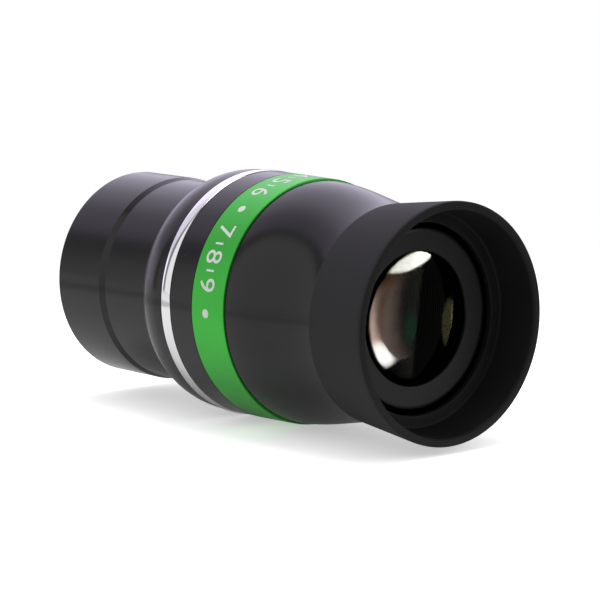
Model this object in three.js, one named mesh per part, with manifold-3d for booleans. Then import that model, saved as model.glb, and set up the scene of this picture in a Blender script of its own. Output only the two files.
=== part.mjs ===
import * as THREE from "three";
import { mergeVertices } from "three/addons/utils/BufferGeometryUtils.js";
import Module from "manifold-3d";

// Telescope eyepiece for a two inch focuser, lying on its side.
// The optical axis runs along X, with the eye end at +X, and +Z is up. Lengths are in millimetres.
// Every outline is a list of [station, radius] points. A station is the distance behind the front
// plane of the eyecup's lip, so stations grow from the eye towards the telescope.

// Lengths along the optical axis, in order from the eye end
const cupDepth = 10.5;
const cupSleeveLength = 9.5;
const upperHousingLength = 26;
const greenBandWidth = 11.5;
const middleHousingWidth = 8.1;
const silverRingWidth = 3.5;
const lowerHousingLength = 11.1;
const barrelLength = 36.1;

// Clearances
const seam = 0.1;
const fit = 0.3;

// Glass, as a lens maker lists it: half diameters, edge lengths, air gaps on the axis and signed radii
// of curvature, where a positive radius has its centre on the telescope's side
const eyeGlassRadius = 17.2;
const innerGlassStep = 3;
const eyeCrownEdge = 2.6;
const eyeFlintEdge = 3.6;
const eyeFrontCurve = 80;
const eyeCementCurve = -46;
const eyeBackCurve = -97;
const longAirGap = 13.7;
const middleLensEdge = 2.2;
const middleFrontCurve = 53.5;
const middleBackCurve = -63;
const shortAirGap = 0.86;
const innerCrownEdge = 2.4;
const innerFlintEdge = 5;
const innerFrontCurve = 35;
const innerCementCurve = -91;
const innerBackCurve = 208;
const barrelCrownCentre = 2.2;
const barrelFlintEdge = 1.8;
const barrelFrontCurve = -32;
const barrelCementCurve = 48;
const barrelBackCurve = 200;

// Eye plate and the sleeve that holds the glasses
const eyeLipWidth = 1.62;
const eyeLipThickness = 0.35;
const eyeLipChamfer = 0.4;
const plateInset = 1.05;
const plateDish = 0.55;
const plateThickness = 1.2;
const plateEdgeRound = 1;
const plateSkirtLength = 5.8;
const plateWall = 1.3;
const cellNoseWall = 2.1;
const cellNoseLength = 5.8;
const cellCollarWall = 1.6;
const cellWall = 3.1;
const cellStepInset = 1.6;
const cellStepWall = 1.9;
const spacerWall = 1.6;
const retainerThickness = 2.6;
const retainerWidth = 1.7;
const notchWidth = 2.4;
const notchDepth = 1;
const cutOverrun = 1;
const fieldStopInset = 2.8;
const fieldStopThickness = 1.4;
const fieldStopWidth = 2.2;
const fieldStopEdge = 0.25;

// Housings and the rings round them
const collarInset = 0.3;
const collarWall = 2.2;
const collarRibHeight = 0.7;
const collarRibWidth = 1.4;
const collarRibInset = 3.4;
const neckWall = 1.6;
const upperFlare = 3.45;
const reliefDepth = 2;
const reliefInset = 9;
const reliefMargin = 5;
const bandStep = 0.45;
const bandTaper = 0.2;
const bandChamfer = 0.35;
const bandWall = 1.8;
const spigotReach = 4;
const bodyChamfer = 0.25;
const ringBulge = 0.25;
const shoulderLength = 6.6;
const shoulderDrop = 3.7;
const shoulderEndDegrees = 16.7;
const seatWidth = 1.05;
const seatRecess = 0.6;

// Barrel and the glass cell in it
const barrelRadius = 25.35;
const undercutDepth = 0.51;
const undercutLength = 17.2;
const undercutSlope = 1.9;
const barrelTipChamfer = 0.5;
const barrelSpigotLength = 6.5;
const barrelSpigotStep = 2.4;
const barrelSpigotWall = 2.2;
const barrelWall = 1.95;
const barrelLedgeInset = 7.8;
const filterWall = 1.6;
const filterDepth = 6;
const filterLeadIn = 0.6;
const glassCellThreadLength = 3.7;
const glassCellFlange = 2;
const glassCellWall = 1.8;
const glassCellNeckWall = 3.44;
const glassCellLedge = 1.3;
const glassCellLedgeThickness = 3.3;
const glassCellMargin = 0.5;

// Rubber eyecup
const cupFloorGap = 1.1;
const cupFloorThickness = 1.6;
const cupFloorRound = 0.3;
const cupBackWall = 1.85;
const cupBackRound = 0.4;
const rimFlare = 2.2;
const rimInset = 1.2;
const rimRound = 0.6;
const skirtWall = 1.8;
const lipThickness = 2;
const lipInnerRound = 1.1;

// Facets round the axis: a multiple of four puts one flat facet at the top, the bottom and each side
const outerFacets = 44;
const innerFacets = 28;
const lensSteps = 3;
const flareSteps = 7;
const shoulderSteps = 6;
const roundSteps = 3;
const bulgeSteps = 4;
const notchCount = 2;

// Stations of the pieces that show, from the lengths above
const cupFloorAt = cupDepth;
const neckAt = cupFloorAt + cupSleeveLength;
const bandAt = neckAt + upperHousingLength;
const middleAt = bandAt + greenBandWidth;
const ringAt = middleAt + middleHousingWidth;
const lowerAt = ringAt + silverRingWidth;
const seatAt = lowerAt + lowerHousingLength;
const barrelEndAt = seatAt + barrelLength;

// Radii of the barrel, from its outside inwards to its glass
const barrelNeckRadius = barrelRadius - undercutDepth;
const barrelSpigotRadius = barrelNeckRadius - barrelSpigotStep;
const barrelTopBore = barrelSpigotRadius - barrelSpigotWall;
const barrelBore = barrelNeckRadius - barrelWall;
const barrelGlassRadius = barrelTopBore - fit - glassCellNeckWall;
const filterBore = barrelRadius - filterWall;
const seatRadius = barrelNeckRadius + seatWidth;

// Radii of the sleeves, built up from the glass outwards. The body has to clear the barrel's seat too.
const innerGlassRadius = eyeGlassRadius + innerGlassStep;
const eyeOpeningRadius = eyeGlassRadius - eyeLipWidth;
const cellNoseRadius = eyeGlassRadius + fit + cellNoseWall;
const plateRadius = cellNoseRadius + fit + plateWall;
const cellCollarRadius = cellNoseRadius + cellCollarWall;
const collarBore = Math.max(plateRadius, cellCollarRadius) + fit;
const collarRadius = collarBore + collarWall;
const cellBore = innerGlassRadius + fit;
const cellRadius = cellBore + cellWall;
const housingBore = cellRadius + fit;
const neckRadius = housingBore + neckWall;
const bodyRadius = Math.max(neckRadius + upperFlare + bandStep + bandTaper, seatRadius + shoulderDrop);
const bandFrontRadius = bodyRadius - bandTaper;
const upperRadius = bandFrontRadius - bandStep;
const sleeveBore = bandFrontRadius - bandWall;
const spigotRadius = sleeveBore - fit;

// Stations of the glass: each rim follows the one before it, by an edge length or across an air gap
const lipBackAt = cupFloorAt + plateInset + plateThickness;
const eyeFrontRimAt = lipBackAt + fit - surfaceAt(0, eyeFrontCurve, eyeGlassRadius, eyeOpeningRadius);
const eyeCementRimAt = eyeFrontRimAt + eyeCrownEdge;
const eyeBackRimAt = eyeCementRimAt + eyeFlintEdge;
const middleFrontRimAt = eyeBackRimAt + longAirGap
  - sagitta(eyeBackCurve, eyeGlassRadius) + sagitta(middleFrontCurve, innerGlassRadius);
const middleBackRimAt = middleFrontRimAt + middleLensEdge;
const innerFrontRimAt = middleBackRimAt + shortAirGap
  - sagitta(middleBackCurve, innerGlassRadius) + sagitta(innerFrontCurve, innerGlassRadius);
const innerCementRimAt = innerFrontRimAt + innerCrownEdge;
const innerBackRimAt = innerCementRimAt + innerFlintEdge;

const cellFrontAt = lipBackAt + fit;
const cellStepAt = neckAt + cellStepInset;
const cellBoreStepAt = cellStepAt + cellStepWall;
const upperSpigotEndAt = middleAt + spigotReach;
const middleSpigotEndAt = lowerAt + spigotReach;
const cellEndAt = middleSpigotEndAt - seam;
const fieldStopAt = cellEndAt - fieldStopInset - fieldStopThickness;
const barrelTopAt = seatAt - barrelSpigotLength;

const barrelLedgeAt = seatAt + barrelLedgeInset;
const glassLedgeAt = barrelLedgeAt + seam - glassCellThreadLength + glassCellLedgeThickness;
const barrelFrontRimAt = glassLedgeAt + seam;
const barrelCementRimAt = barrelFrontRimAt + barrelCrownCentre
  - sagitta(barrelFrontCurve, barrelGlassRadius) + sagitta(barrelCementCurve, barrelGlassRadius);
const barrelBackRimAt = barrelCementRimAt + barrelFlintEdge;
const barrelRetainerAt = barrelBackRimAt + seam;
const glassCellEndAt = barrelRetainerAt + retainerThickness + glassCellMargin;

const wasm = await Module();
wasm.setup();

// Materials

function blackAnodised() {
  return new THREE.MeshStandardMaterial({ color: 0x2b292b, roughness: 0.28, metalness: 0.55 });
}

function greenAnodised() {
  return new THREE.MeshStandardMaterial({ color: 0x3fb14a, roughness: 0.35, metalness: 0.6 });
}

function polishedSilver() {
  return new THREE.MeshStandardMaterial({ color: 0xdcdce0, roughness: 0.12, metalness: 1 });
}

function mattBlack() {
  return new THREE.MeshStandardMaterial({ color: 0x1c1b1c, roughness: 0.7, metalness: 0.2 });
}

function softRubber() {
  return new THREE.MeshStandardMaterial({ color: 0x222021, roughness: 0.85, metalness: 0 });
}

function coatedGlass(color) {
  return new THREE.MeshStandardMaterial({
    color,
    roughness: 0.03,
    metalness: 0,
    transparent: true,
    opacity: 0.35,
  });
}

// Geometry helpers

// How far a sphere of the given signed radius falls behind its vertex at a height off the axis
function sagitta(curve, height) {
  return Math.sign(curve) * (Math.abs(curve) - Math.sqrt(curve * curve - height * height));
}

// Station of a glass surface at a height, from the station of its rim
function surfaceAt(rimAt, curve, glassRadius, height) {
  return rimAt - sagitta(curve, glassRadius) + sagitta(curve, height);
}

// Where a ring behind a glass touches it: on the rim of a hollow surface, or on its own bore if it bulges
function behindGlass(rimAt, curve, glassRadius, ringBore) {
  return Math.max(rimAt, surfaceAt(rimAt, curve, glassRadius, ringBore)) + seam;
}

function beforeGlass(rimAt, curve, glassRadius, ringBore) {
  return Math.min(rimAt, surfaceAt(rimAt, curve, glassRadius, ringBore)) - seam;
}

// Points of an elliptical arc about a centre. At 0 degrees a point lies towards the telescope and at
// 90 degrees outwards.
function arc(centreAt, centreRadius, axialReach, radialReach, fromDegrees, toDegrees, steps) {
  const points = [];
  for (let step = 0; step <= steps; step += 1) {
    const angle = THREE.MathUtils.degToRad(THREE.MathUtils.lerp(fromDegrees, toDegrees, step / steps));
    points.push([centreAt + axialReach * Math.cos(angle), centreRadius + radialReach * Math.sin(angle)]);
  }
  return points;
}

// A polygon round the axis whose flats, not its corners, lie at the outline's radii
function revolve(outline, facets) {
  const cornerShare = 1 / Math.cos(Math.PI / facets);
  const points = outline.map(([station, radius]) => new THREE.Vector2(radius * cornerShare, station));
  if (THREE.ShapeUtils.area(points) < 0) points.reverse();
  const lathe = new THREE.LatheGeometry(points, facets, Math.PI / facets);
  lathe.rotateZ(Math.PI / 2);
  return welded(lathe);
}

// A ring is an outline that closes on itself
function revolveRing(outline, facets) {
  return revolve([...outline, outline[0]], facets);
}

// One vertex for each corner, and no triangle that has shrunk to a line on the axis
function welded(geometry) {
  geometry.deleteAttribute("normal");
  geometry.deleteAttribute("uv");
  const merged = mergeVertices(geometry);
  const corners = merged.getIndex().array;
  const kept = [];
  for (let first = 0; first < corners.length; first += 3) {
    const [a, b, c] = corners.slice(first, first + 3);
    if (a !== b && b !== c && c !== a) kept.push(a, b, c);
  }
  merged.setIndex(kept);
  return merged;
}

function toSolid(geometry) {
  const vertProperties = new Float32Array(geometry.getAttribute("position").array);
  const triVerts = new Uint32Array(geometry.getIndex().array);
  return new wasm.Manifold(new wasm.Mesh({ numProp: 3, vertProperties, triVerts }));
}

function toGeometry(solid) {
  const mesh = solid.getMesh();
  const geometry = new THREE.BufferGeometry();
  geometry.setAttribute("position", new THREE.BufferAttribute(mesh.vertProperties, 3));
  geometry.setIndex(new THREE.BufferAttribute(mesh.triVerts, 1));
  return geometry;
}

function piece(name, geometry, material) {
  geometry.computeVertexNormals();
  const mesh = new THREE.Mesh(geometry, material);
  mesh.name = name;
  return mesh;
}

// Spanner notches across the telescope-side face of a threaded ring
function cutNotches(ring, faceAt, outerRadius) {
  let solid = toSolid(ring);
  for (let notch = 0; notch < notchCount; notch += 1) {
    const angle = (notch * 2 * Math.PI) / notchCount;
    const tool = new THREE.BoxGeometry(2 * notchDepth, notchWidth, retainerWidth + 2 * cutOverrun);
    tool.translate(-faceAt, 0, outerRadius - retainerWidth / 2);
    tool.rotateX(angle);
    solid = solid.subtract(toSolid(welded(tool)));
  }
  return toGeometry(solid);
}

// Rubber eyecup

// Radius of the cup's flared outside: a straight cone from its back edge to its rim
function cupOutside(station) {
  const share = (neckAt - station) / (neckAt - rimInset);
  return collarRadius + fit + cupBackWall + rimFlare * share;
}

function makeEyecupSkirt() {
  const rimRadius = cupOutside(rimInset);
  const lipRadius = rimRadius - lipThickness;
  const outline = [
    [cupFloorAt - seam, cupOutside(cupFloorAt)],
    [rimInset, rimRadius],
    ...arc(rimRound, rimRadius - rimRound, rimRound, rimRound, 90, 180, roundSteps),
    ...arc(lipInnerRound, lipRadius + lipInnerRound, lipInnerRound, lipInnerRound, 180, 270, roundSteps),
    [cupFloorAt - seam, cupOutside(cupFloorAt) - skirtWall],
  ];
  return piece("eyecup_skirt", revolveRing(outline, outerFacets), softRubber());
}

function makeEyecupBase() {
  const floorRadius = plateRadius + cupFloorGap;
  const bore = collarRadius + fit;
  const grooveRadius = bore + collarRibHeight;
  const ribAt = cupFloorAt + plateInset + collarRibInset;
  const backRadius = cupOutside(neckAt);
  const outline = [
    [cupFloorAt, floorRadius + cupFloorRound],
    [cupFloorAt, cupOutside(cupFloorAt)],
    [neckAt - seam - cupBackRound, backRadius],
    ...arc(neckAt - seam - cupBackRound, backRadius - cupBackRound, cupBackRound, cupBackRound, 60, 0, 2),
    [neckAt - seam, bore],
    [ribAt + collarRibWidth + fit, bore],
    [ribAt + collarRibWidth + fit, grooveRadius],
    [ribAt - fit, grooveRadius],
    [ribAt - fit, bore],
    [cupFloorAt + cupFloorThickness, bore],
    [cupFloorAt + cupFloorThickness, floorRadius],
    [cupFloorAt + cupFloorRound, floorRadius],
  ];
  return piece("eyecup_base", revolveRing(outline, outerFacets), softRubber());
}

// Eye plate, a shallow cap that screws over the front of the lens cell

function makeEyePlate() {
  const faceAt = cupFloorAt + plateInset;
  const innerFaceAt = faceAt + plateDish;
  const outline = [
    [lipBackAt, eyeOpeningRadius],
    [lipBackAt - eyeLipThickness, eyeOpeningRadius],
    [innerFaceAt, eyeOpeningRadius + eyeLipChamfer],
    [faceAt, plateRadius - plateEdgeRound],
    ...arc(faceAt + plateEdgeRound, plateRadius - plateEdgeRound, plateEdgeRound, plateEdgeRound, 150, 90, 2),
    [lipBackAt + plateSkirtLength, plateRadius],
    [lipBackAt + plateSkirtLength, plateRadius - plateWall],
    [lipBackAt, plateRadius - plateWall],
  ];
  return piece("eye_plate", revolveRing(outline, outerFacets), mattBlack());
}

// Glasses and what spaces them

// A lens between two rims, each surface a spherical cap seen as equal steps of height
function makeLens(name, radius, frontRimAt, frontCurve, backRimAt, backCurve, color) {
  const surface = (rimAt, curve) => {
    const points = [];
    for (let step = 0; step <= lensSteps; step += 1) {
      const height = (radius * step) / lensSteps;
      points.push([surfaceAt(rimAt, curve, radius, height), height]);
    }
    return points;
  };
  const outline = [...surface(frontRimAt, frontCurve), ...surface(backRimAt, backCurve).reverse()];
  return piece(name, revolve(outline, innerFacets), coatedGlass(color));
}

// The front face of a cemented pair's second glass lies one seam behind the first glass
function makeEyeDoublet() {
  return [
    makeLens("eye_crown_lens", eyeGlassRadius, eyeFrontRimAt, eyeFrontCurve,
      eyeCementRimAt, eyeCementCurve, 0x9fb8a8),
    makeLens("eye_flint_lens", eyeGlassRadius, eyeCementRimAt + seam, eyeCementCurve,
      eyeBackRimAt, eyeBackCurve, 0xb8a89f),
  ];
}

function makeMiddleLens() {
  return makeLens("middle_lens", innerGlassRadius, middleFrontRimAt, middleFrontCurve,
    middleBackRimAt, middleBackCurve, 0x9fb0b8);
}

function makeInnerDoublet() {
  return [
    makeLens("inner_crown_lens", innerGlassRadius, innerFrontRimAt, innerFrontCurve,
      innerCementRimAt, innerCementCurve, 0x9fb8a8),
    makeLens("inner_flint_lens", innerGlassRadius, innerCementRimAt + seam, innerCementCurve,
      innerBackRimAt, innerBackCurve, 0xb8a89f),
  ];
}

// The long spacer carries the step between the two sizes of glass, so it is coned inside
function makeLongSpacer() {
  const frontBore = eyeGlassRadius - spacerWall;
  const backBore = innerGlassRadius - spacerWall;
  const frontAt = behindGlass(eyeBackRimAt, eyeBackCurve, eyeGlassRadius, frontBore);
  const backAt = beforeGlass(middleFrontRimAt, middleFrontCurve, innerGlassRadius, backBore);
  const stepAt = cellBoreStepAt + fit;
  const outline = [
    [frontAt, eyeGlassRadius],
    [stepAt, eyeGlassRadius],
    [stepAt, innerGlassRadius],
    [backAt, innerGlassRadius],
    [backAt, backBore],
    [stepAt, frontBore],
    [frontAt, frontBore],
  ];
  return piece("long_spacer", revolveRing(outline, innerFacets), mattBlack());
}

function makeShortSpacer() {
  const bore = innerGlassRadius - spacerWall;
  const frontAt = behindGlass(middleBackRimAt, middleBackCurve, innerGlassRadius, bore);
  const backAt = beforeGlass(innerFrontRimAt, innerFrontCurve, innerGlassRadius, bore);
  const outline = [
    [frontAt, innerGlassRadius],
    [backAt, innerGlassRadius],
    [backAt, bore],
    [frontAt, bore],
  ];
  return piece("short_spacer", revolveRing(outline, innerFacets), mattBlack());
}

// A flat threaded ring with spanner notches
function makeNotchedRing(name, frontAt, outerRadius) {
  const backAt = frontAt + retainerThickness;
  const outline = [
    [frontAt, outerRadius],
    [backAt, outerRadius],
    [backAt, outerRadius - retainerWidth],
    [frontAt, outerRadius - retainerWidth],
  ];
  const ring = revolveRing(outline, innerFacets);
  return piece(name, cutNotches(ring, backAt, outerRadius), mattBlack());
}

// The field stop's bore ends in a thin edge on the eye's side
function makeFieldStop() {
  const backAt = fieldStopAt + fieldStopThickness;
  const outline = [
    [fieldStopAt, innerGlassRadius],
    [backAt, innerGlassRadius],
    [backAt, innerGlassRadius - spacerWall],
    [fieldStopAt + fieldStopEdge, innerGlassRadius - fieldStopWidth],
    [fieldStopAt, innerGlassRadius - fieldStopWidth],
  ];
  return piece("field_stop", revolveRing(outline, innerFacets), mattBlack());
}

// The sleeve that holds the stack: a narrow nose for the plate, a collar and the wide body
function makeLensCell() {
  const noseEndAt = cellFrontAt + cellNoseLength;
  const outline = [
    [cellFrontAt, cellNoseRadius],
    [noseEndAt, cellNoseRadius],
    [noseEndAt, cellCollarRadius],
    [cellStepAt, cellCollarRadius],
    [cellStepAt, cellRadius],
    [cellEndAt, cellRadius],
    [cellEndAt, cellBore],
    [cellBoreStepAt, cellBore],
    [cellBoreStepAt, eyeGlassRadius + fit],
    [cellFrontAt, eyeGlassRadius + fit],
  ];
  return piece("lens_cell", revolveRing(outline, innerFacets), mattBlack());
}

// Housings, and the rings that they clamp

// The flared outside is a curve that leaves the neck and reaches the band parallel to the axis
function flaredOutside() {
  const handle = upperHousingLength / 3;
  const curve = new THREE.CubicBezierCurve(
    new THREE.Vector2(neckAt, neckRadius),
    new THREE.Vector2(neckAt + handle, neckRadius),
    new THREE.Vector2(bandAt - handle, upperRadius),
    new THREE.Vector2(bandAt, upperRadius),
  );
  return curve.getPoints(flareSteps).map((point) => [point.x, point.y]);
}

function makeUpperHousing() {
  const collarFrontAt = cupFloorAt + cupFloorThickness + collarInset;
  const ribAt = cupFloorAt + plateInset + collarRibInset;
  const boreStepAt = cellStepAt - fit;
  const reliefRadius = housingBore + reliefDepth;
  const reliefFrontAt = boreStepAt + reliefInset;
  const reliefBackAt = upperSpigotEndAt - reliefMargin;
  const outline = [
    [collarFrontAt, collarRadius],
    [ribAt, collarRadius],
    [ribAt + collarRibWidth / 3, collarRadius + collarRibHeight],
    [ribAt + collarRibWidth, collarRadius + collarRibHeight],
    [ribAt + collarRibWidth, collarRadius],
    [neckAt, collarRadius],
    ...flaredOutside(),
    [bandAt, spigotRadius],
    [upperSpigotEndAt - fit, spigotRadius],
    [upperSpigotEndAt - fit, housingBore],
    [reliefBackAt, housingBore],
    [reliefBackAt - reliefDepth, reliefRadius],
    [reliefFrontAt + reliefDepth, reliefRadius],
    [reliefFrontAt, housingBore],
    [boreStepAt, housingBore],
    [boreStepAt, collarBore],
    [collarFrontAt, collarBore],
  ];
  return piece("upper_housing", revolveRing(outline, outerFacets), blackAnodised());
}

function makeGreenBand() {
  const frontAt = bandAt + seam;
  const backAt = middleAt - seam;
  const outline = [
    [frontAt, sleeveBore],
    [frontAt, bandFrontRadius - bandChamfer],
    [frontAt + bandChamfer, bandFrontRadius],
    [backAt, bodyRadius],
    [backAt, sleeveBore],
  ];
  return piece("green_band", revolveRing(outline, outerFacets), greenAnodised());
}

function makeMiddleHousing() {
  const outline = [
    [middleAt, spigotRadius + fit],
    [middleAt, bodyRadius - bodyChamfer],
    [middleAt + bodyChamfer, bodyRadius],
    [ringAt - bodyChamfer, bodyRadius],
    [ringAt, bodyRadius - bodyChamfer],
    [ringAt, spigotRadius],
    [middleSpigotEndAt - fit, spigotRadius],
    [middleSpigotEndAt - fit, housingBore],
    [upperSpigotEndAt, housingBore],
    [upperSpigotEndAt, spigotRadius + fit],
  ];
  return piece("middle_housing", revolveRing(outline, outerFacets), blackAnodised());
}

// The silver ring stands a little proud, in a shallow curve from edge to edge
function makeSilverRing() {
  const frontAt = ringAt + seam;
  const backAt = lowerAt - seam;
  const centreAt = (frontAt + backAt) / 2;
  const reach = (backAt - frontAt) / 2;
  const outline = [
    [frontAt, sleeveBore],
    ...arc(centreAt, bodyRadius, reach, ringBulge, 180, 0, bulgeSteps),
    [backAt, sleeveBore],
  ];
  return piece("silver_ring", revolveRing(outline, outerFacets), polishedSilver());
}

// The shoulder rounds off as a quarter of an ellipse, cut short by the flat seat. The barrel's neck sits
// in a recess inside the seat.
function makeLowerHousing() {
  const endAngle = THREE.MathUtils.degToRad(shoulderEndDegrees);
  const radialRound = (bodyRadius - seatRadius) / (1 - Math.sin(endAngle));
  const centreAt = seatAt - shoulderLength * Math.cos(endAngle);
  const bore = barrelSpigotRadius + fit;
  const outline = [
    [lowerAt, spigotRadius + fit],
    [lowerAt, bodyRadius - bodyChamfer],
    [lowerAt + bodyChamfer, bodyRadius],
    ...arc(centreAt, bodyRadius - radialRound, shoulderLength, radialRound, 90, shoulderEndDegrees,
      shoulderSteps),
    [seatAt, barrelNeckRadius + fit],
    [seatAt - seatRecess, barrelNeckRadius + fit],
    [seatAt - seatRecess, bore],
    [middleSpigotEndAt, bore],
    [middleSpigotEndAt, spigotRadius + fit],
  ];
  return piece("lower_housing", revolveRing(outline, outerFacets), blackAnodised());
}

// Barrel: a threaded spigot, the undercut neck, a slope up to the full-size tip and the filter thread's bore

function makeBarrel() {
  const neckStartAt = seatAt - seatRecess + seam;
  const neckEndAt = seatAt + undercutLength;
  const filterAt = barrelEndAt - filterDepth;
  const outline = [
    [barrelTopAt, barrelTopBore],
    [barrelTopAt, barrelSpigotRadius],
    [neckStartAt, barrelSpigotRadius],
    [neckStartAt, barrelNeckRadius],
    [neckEndAt, barrelNeckRadius],
    [neckEndAt + undercutSlope, barrelRadius],
    [barrelEndAt - barrelTipChamfer, barrelRadius],
    [barrelEndAt, barrelRadius - barrelTipChamfer],
    [barrelEndAt, filterBore],
    [filterAt, filterBore],
    [filterAt - filterLeadIn, barrelBore],
    [barrelLedgeAt, barrelBore],
    [barrelLedgeAt, barrelTopBore],
  ];
  return piece("barrel", revolveRing(outline, outerFacets), blackAnodised());
}

function makeBarrelLensCell() {
  const flangeAt = barrelLedgeAt + seam;
  const threadAt = flangeAt - glassCellThreadLength;
  const tubeBore = barrelGlassRadius + fit;
  const tubeRadius = tubeBore + glassCellWall;
  const outline = [
    [threadAt, barrelTopBore - fit],
    [flangeAt, barrelTopBore - fit],
    [flangeAt, barrelBore - fit],
    [flangeAt + glassCellFlange, barrelBore - fit],
    [flangeAt + glassCellFlange, tubeRadius],
    [glassCellEndAt, tubeRadius],
    [glassCellEndAt, tubeBore],
    [glassLedgeAt, tubeBore],
    [glassLedgeAt, barrelGlassRadius - glassCellLedge],
    [threadAt, barrelGlassRadius - glassCellLedge],
  ];
  return piece("barrel_lens_cell", revolveRing(outline, innerFacets), blackAnodised());
}

function makeBarrelDoublet() {
  return [
    makeLens("barrel_crown_lens", barrelGlassRadius, barrelFrontRimAt, barrelFrontCurve,
      barrelCementRimAt, barrelCementCurve, 0x9fb8a8),
    makeLens("barrel_flint_lens", barrelGlassRadius, barrelCementRimAt + seam, barrelCementCurve,
      barrelBackRimAt, barrelBackCurve, 0xb8a89f),
  ];
}

// Assembly

function groupOf(...pieces) {
  const group = new THREE.Group();
  group.add(...pieces.flat());
  return group;
}

const eyecup = groupOf(makeEyecupSkirt(), makeEyecupBase());

const body = groupOf(
  makeUpperHousing(),
  makeGreenBand(),
  makeMiddleHousing(),
  makeSilverRing(),
  makeLowerHousing(),
);

const opticalStack = groupOf(
  makeEyePlate(),
  makeLensCell(),
  makeEyeDoublet(),
  makeLongSpacer(),
  makeMiddleLens(),
  makeShortSpacer(),
  makeInnerDoublet(),
  makeNotchedRing("cell_retainer", innerBackRimAt + seam, innerGlassRadius),
  makeFieldStop(),
);

const nosepiece = groupOf(
  makeBarrel(),
  makeBarrelLensCell(),
  makeBarrelDoublet(),
  makeNotchedRing("barrel_lens_retainer", barrelRetainerAt, barrelGlassRadius),
);

const eyepiece = groupOf(eyecup, body, opticalStack, nosepiece);
eyepiece.position.x = barrelEndAt / 2;

export default eyepiece;
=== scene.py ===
# Telescope eyepiece for a two inch focuser: smooth turned surfaces, finishes, studio and camera
import math
from functools import cache

import bmesh
import bpy
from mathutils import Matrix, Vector


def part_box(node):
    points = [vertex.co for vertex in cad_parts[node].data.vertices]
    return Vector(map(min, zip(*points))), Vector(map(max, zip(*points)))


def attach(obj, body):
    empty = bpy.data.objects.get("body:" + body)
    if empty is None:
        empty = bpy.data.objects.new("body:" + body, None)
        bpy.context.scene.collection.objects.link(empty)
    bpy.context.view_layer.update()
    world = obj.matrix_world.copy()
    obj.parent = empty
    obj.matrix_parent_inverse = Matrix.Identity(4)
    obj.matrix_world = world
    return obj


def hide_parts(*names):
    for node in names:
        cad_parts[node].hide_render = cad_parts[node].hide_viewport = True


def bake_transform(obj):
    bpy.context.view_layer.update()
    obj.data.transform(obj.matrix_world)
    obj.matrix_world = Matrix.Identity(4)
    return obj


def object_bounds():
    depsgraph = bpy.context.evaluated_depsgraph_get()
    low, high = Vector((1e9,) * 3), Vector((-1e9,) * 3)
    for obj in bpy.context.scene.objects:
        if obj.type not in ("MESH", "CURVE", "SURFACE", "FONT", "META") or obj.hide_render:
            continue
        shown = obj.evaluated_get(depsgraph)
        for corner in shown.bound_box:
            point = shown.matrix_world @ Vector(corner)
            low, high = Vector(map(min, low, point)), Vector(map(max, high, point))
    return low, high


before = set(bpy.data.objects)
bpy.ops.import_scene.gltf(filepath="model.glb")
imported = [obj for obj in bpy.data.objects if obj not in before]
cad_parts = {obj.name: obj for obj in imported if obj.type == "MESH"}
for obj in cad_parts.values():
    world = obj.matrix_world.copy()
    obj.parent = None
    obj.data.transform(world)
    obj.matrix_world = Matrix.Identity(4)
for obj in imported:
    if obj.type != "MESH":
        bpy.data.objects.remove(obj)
cad_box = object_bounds()

# Units and facets. Points closer than the weld, in metres, become one.

MM = 0.001
FACETS = 192
ROUND_STEPS = 5
CURVE_STEPS = 28
SHARP_ANGLE = math.radians(32)
ROUND_SHARE = 0.48
WELD = 1e-7

# Seams, fits and edge rounds. All lengths here are in millimetres, unless a line says otherwise.

SEAM = 0.1
FIT = 0.3
EDGE = 0.12
SOFT_EDGE = 0.35

# Rubber eyecup

SKIRT_WALL = 1.8
LIP_THICKNESS = 2.0
RIM_ROUND = 0.75
LIP_INNER_ROUND = 0.9
RIM_INSET = 1.2
CUP_TAPER = 1.11
CUP_BACK_WALL = 1.85
CUP_FLOOR_THICKNESS = 1.6
CUP_FLOOR_GAP = 1.1
BOWL_FILLET = 0.6
CUP_ROW = 0.55

# Eye plate. The middle corner of its rounded edge lies at two shares of the round: behind the face, and
# inside the rim.

PLATE_THICKNESS = 1.2
PLATE_DISH = 0.55
PLATE_EDGE_ROUND = 1.0
PLATE_EDGE_MIDDLE = 0.1, 0.35
PLATE_WALL = 1.3
EYE_LIP_WIDTH = 1.62
EYE_LIP_THICKNESS = 0.35
EYE_LIP_CHAMFER = 0.2

# Glasses: the radius of each face, positive where its centre lies behind the face. A facet that turns less
# than the least facing towards the axis belongs to the edge.

EYE_FRONT_CURVE = 80
EYE_CEMENT_CURVE = -46
EYE_BACK_CURVE = -97
MIDDLE_FRONT_CURVE = 53.5
MIDDLE_BACK_CURVE = -63
INNER_FRONT_CURVE = 35
INNER_CEMENT_CURVE = -91
INNER_BACK_CURVE = 208
BARREL_FRONT_CURVE = -32
BARREL_CEMENT_CURVE = 48
BARREL_BACK_CURVE = 200
LENS_BEVEL = 0.15
LEAST_FACING = 0.5

# Housings. The shoulder's curve leaves the body along a lead, and ends in a fall: how far its last handle
# stands before the seat, and how far outside it.

HOUSING_WALL = 1.6
UPPER_FLARE = 3.45
BAND_STEP = 0.45
BAND_TAPER = 0.2
BAND_WALL = 1.8
BAND_FRONT_ROUND = 0.3
BAND_BACK_ROUND = 0.06
BODY_CHAMFER = 0.25
RING_BULGE = 0.25
SHOULDER_LENGTH = 9.3
SHOULDER_DROP = 3.71
SHOULDER_LEAD = 3.7
SHOULDER_FALL = 1.3, 2.5
SEAT_RECESS = 0.6
LOWER_BORE_INSET = 1.8

# Barrel. Its spigot goes into the lower housing, and its ledge stops the lens cell.

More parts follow.
